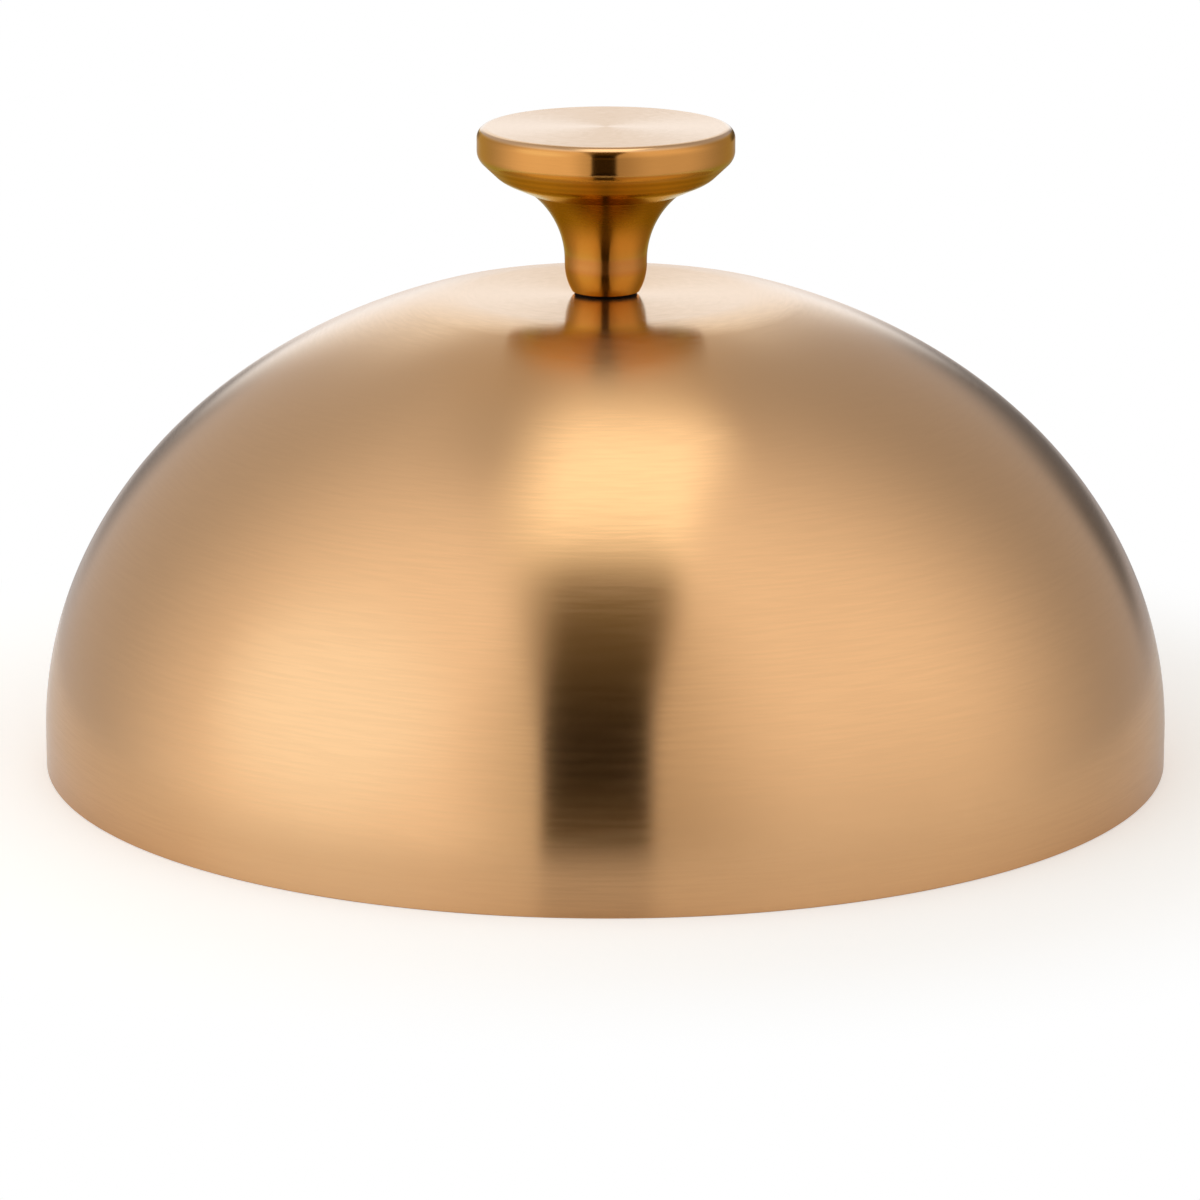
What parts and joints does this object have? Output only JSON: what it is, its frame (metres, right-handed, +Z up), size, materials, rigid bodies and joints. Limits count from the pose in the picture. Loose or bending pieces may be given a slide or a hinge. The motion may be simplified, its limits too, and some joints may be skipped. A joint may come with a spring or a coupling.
{
  "type": "melting dome",
  "caption": "Low metal dome with a flat crown and a flat-topped hollow knob on a flared stem, set over food on a griddle to melt, steam or baste it.",
  "frame": {"origin": "centre of the rim's plane, on the dome's axis", "axes": "+Z up along the dome's axis; X and Y lie in the rim's plane"},
  "size_m": [0.2, 0.2, 0.1132],
  "materials": {
    "brushed_gold": "satin",
    "polished_gold": "polished",
    "black_rubber": "matte",
    "plain_steel": "satin"
  },
  "bodies": {
    "root": {"dome_shell": "brushed_gold", "knob_cap": "polished_gold", "knob_stem": "polished_gold", "knob_insert": "plain_steel", "knob_gasket": "black_rubber", "flat_washer": "plain_steel", "spring_washer": "plain_steel", "fixing_screw": "plain_steel"}
  },
  "joints": []
}
